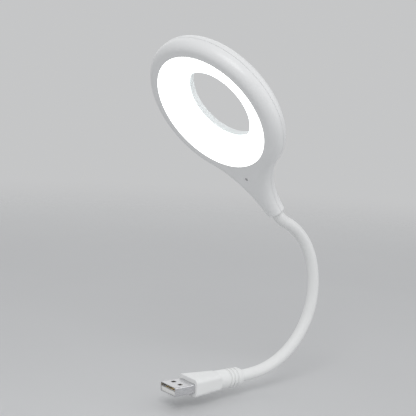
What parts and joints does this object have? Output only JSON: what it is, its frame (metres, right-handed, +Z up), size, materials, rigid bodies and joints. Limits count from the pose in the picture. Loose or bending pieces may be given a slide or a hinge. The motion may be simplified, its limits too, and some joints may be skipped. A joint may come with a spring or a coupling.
{
  "type": "reading lamp",
  "caption": "White ring-shaped reading lamp head on a flexible neck with a USB-A plug at its foot; the ring lights up and a microphone hole in the tail stands in for a switch.",
  "frame": {"origin": "centre of the grip's front face, on the USB plug's axis, where the plug meets its socket", "axes": "+X along the plug towards the neck, +Y across the plug, +Z up, with the plug lying flat"},
  "size_m": [0.097, 0.0767, 0.1718],
  "materials": {
    "white_overmould": "satin white PVC",
    "plug_steel": "nickel-plated steel",
    "tongue_plastic": "white insulator",
    "contact_gold": "gold-plated",
    "inner_mould_plastic": "pale polyethylene",
    "lead_insulation": "insulated wire",
    "ferrule_metal": "turned",
    "white_sleeve": "soft white silicone",
    "core_wire": "soft annealed wire",
    "white_shell": "satin white ABS",
    "white_cover": "satin white ABS",
    "lit_diffuser": "milky polycarbonate, lit",
    "led_board_white": "white solder mask",
    "led_phosphor": "phosphor",
    "control_board_green": "green solder mask",
    "chip_black": "moulded epoxy",
    "small_parts": "ceramic chips",
    "microphone_can": "drawn can",
    "boot_rubber": "black rubber",
    "screw_steel": "zinc-plated"
  },
  "bodies": {
    "plug": {"plug_overmould": "white_overmould", "usb_shell": "plug_steel", "usb_tongue": "tongue_plastic", "usb_contacts": "contact_gold", "inner_mould": "inner_mould_plastic", "plug_leads": "lead_insulation", "lower_ferrule": "ferrule_metal", "neck_sleeve_1": "white_sleeve", "neck_core_1": "core_wire", "neck_leads_1": "lead_insulation"},
    "neck_2": {"neck_sleeve_2": "white_sleeve", "neck_core_2": "core_wire", "neck_leads_2": "lead_insulation"},
    "neck_3": {"neck_sleeve_3": "white_sleeve", "neck_core_3": "core_wire", "neck_leads_3": "lead_insulation"},
    "neck_4": {"neck_sleeve_4": "white_sleeve", "neck_core_4": "core_wire", "neck_leads_4": "lead_insulation"},
    "neck_5": {"neck_sleeve_5": "white_sleeve", "neck_core_5": "core_wire", "neck_leads_5": "lead_insulation"},
    "neck_6": {"neck_sleeve_6": "white_sleeve", "neck_core_6": "core_wire", "neck_leads_6": "lead_insulation"},
    "neck_7": {"neck_sleeve_7": "white_sleeve", "neck_core_7": "core_wire", "neck_leads_7": "lead_insulation"},
    "neck_8": {"neck_sleeve_8": "white_sleeve", "neck_core_8": "core_wire", "neck_leads_8": "lead_insulation"},
    "head": {"front_shell": "white_shell", "rear_cover": "white_cover", "diffuser": "lit_diffuser", "led_board": "led_board_white", "led_chips": "led_phosphor", "control_board": "control_board_green", "voice_chip": "chip_black", "board_parts": "small_parts", "microphone": "microphone_can", "mic_boot": "boot_rubber", "head_leads": "lead_insulation", "jumper_leads": "lead_insulation", "board_screws": "screw_steel", "upper_ferrule": "ferrule_metal", "neck_sleeve_9": "white_sleeve", "neck_core_9": "core_wire", "neck_leads_9": "lead_insulation"}
  },
  "joints": [
    {"name": "lower_bend", "type": "hinge", "parent": "plug", "child": "neck_2", "pos_m": [0.04248, 0, 0.00058], "axis": [0, -1, 0], "range_deg": [-20, 6]},
    {"name": "lower_sway", "type": "hinge", "parent": "neck_2", "child": "neck_3", "pos_m": [0.05679, 0, 0.00481], "axis": [-0.4415, 0, 0.8973], "range_deg": [-40, 40]},
    {"name": "lower_bend_2", "type": "hinge", "parent": "neck_3", "child": "neck_4", "pos_m": [0.06875, 0, 0.01374], "axis": [0, -1, 0], "range_deg": [-20, 6]},
    {"name": "lower_bend_3", "type": "hinge", "parent": "neck_4", "child": "neck_5", "pos_m": [0.07666, 0, 0.02638], "axis": [0, -1, 0], "range_deg": [-20, 6]},
    {"name": "upper_bend", "type": "hinge", "parent": "neck_5", "child": "neck_6", "pos_m": [0.07939, 0, 0.04104], "axis": [0, -1, 0], "range_deg": [-22, 15]},
    {"name": "upper_sway", "type": "hinge", "parent": "neck_6", "child": "neck_7", "pos_m": [0.07691, 0, 0.05576], "axis": [-0.9466, 0, -0.3223], "range_deg": [-40, 40]},
    {"name": "upper_bend_2", "type": "hinge", "parent": "neck_7", "child": "neck_8", "pos_m": [0.06938, 0, 0.06862], "axis": [0, -1, 0], "range_deg": [-22, 15]},
    {"name": "upper_bend_3", "type": "hinge", "parent": "neck_8", "child": "head", "pos_m": [0.05731, 0, 0.07733], "axis": [0, -1, 0], "range_deg": [-22, 15]}
  ],
  "couplings": [
    {"joint": "lower_bend_2", "follows": "lower_bend", "ratio": 1},
    {"joint": "lower_bend_3", "follows": "lower_bend", "ratio": 1},
    {"joint": "upper_bend_2", "follows": "upper_bend", "ratio": 1},
    {"joint": "upper_bend_3", "follows": "upper_bend", "ratio": 1}
  ]
}
